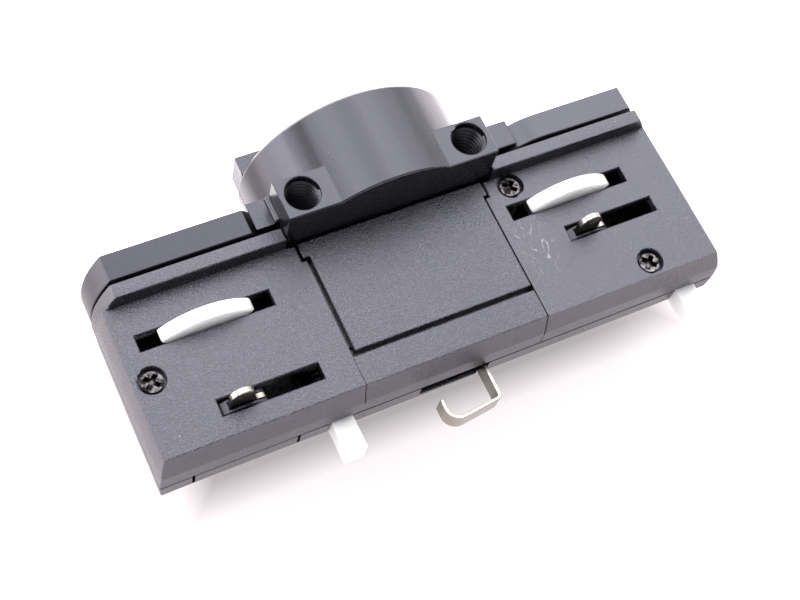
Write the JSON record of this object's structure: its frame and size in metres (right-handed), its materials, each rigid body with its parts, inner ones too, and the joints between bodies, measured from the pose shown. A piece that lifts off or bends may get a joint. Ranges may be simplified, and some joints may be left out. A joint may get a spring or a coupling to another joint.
{
  "type": "track light adapter",
  "caption": "Black two-lever adapter that locks a lamp into a powered track, with white cams, contact blades and a round hub.",
  "frame": {"origin": "mouth of the stem thread, in the middle of the hub's room face", "axes": "+X along the track, +Y out of the track towards the room, +Z normal of the flat side with the terminal cover; it lies on its side"},
  "size_m": [0.1047, 0.0572, 0.04],
  "materials": {
    "black_plastic": "fine matt grain",
    "white_plastic": "smooth satin",
    "nickel": "bright nickel plate",
    "zinc_steel": "dark zinc plate",
    "brass": "bright"
  },
  "bodies": {
    "housing": {"lower_shell": "black_plastic", "left_cover": "black_plastic", "right_cover": "black_plastic", "hub_cap": "black_plastic", "terminal_cover": "black_plastic", "stem_bush": "zinc_steel", "body_screws": "zinc_steel", "hub_screws": "zinc_steel", "terminal_block": "white_plastic", "terminal_clamps": "brass", "terminal_screws": "zinc_steel", "earth_clip": "nickel", "left_brush": "nickel", "right_brush": "nickel", "left_plunger_spring": "nickel", "right_plunger_spring": "nickel"},
    "left_rotor_body": {"left_rotor": "white_plastic", "left_contact_carrier": "black_plastic", "left_contact": "nickel", "left_contact_rivet": "zinc_steel", "left_lever": "black_plastic", "left_lever_screw": "zinc_steel"},
    "right_rotor_body": {"right_rotor": "white_plastic", "right_contact_carrier": "black_plastic", "right_contact": "nickel", "right_contact_rivet": "zinc_steel", "right_lever": "black_plastic", "right_lever_screw": "zinc_steel"},
    "left_plunger_body": {"left_plunger": "white_plastic"},
    "right_plunger_body": {"right_plunger": "white_plastic"}
  },
  "joints": [
    {"name": "left_turn", "type": "hinge", "parent": "housing", "child": "left_rotor_body", "pos_m": [-0.0363, -0.018, 0], "axis": [0, 1, 0], "range_deg": [0, 90]},
    {"name": "right_turn", "type": "hinge", "parent": "housing", "child": "right_rotor_body", "pos_m": [0.0311, -0.018, 0], "axis": [0, 1, 0], "range_deg": [0, 90]},
    {"name": "left_press", "type": "slide", "parent": "housing", "child": "left_plunger_body", "axis": [0, 1, 0], "range_m": [0, 0.0045], "stiffness_N_per_m": 150, "springref_m": -0.001, "deforming": ["left_plunger_spring"]},
    {"name": "right_press", "type": "slide", "parent": "housing", "child": "right_plunger_body", "axis": [0, 1, 0], "range_m": [0, 0.0045], "stiffness_N_per_m": 150, "springref_m": -0.001, "deforming": ["right_plunger_spring"]}
  ]
}
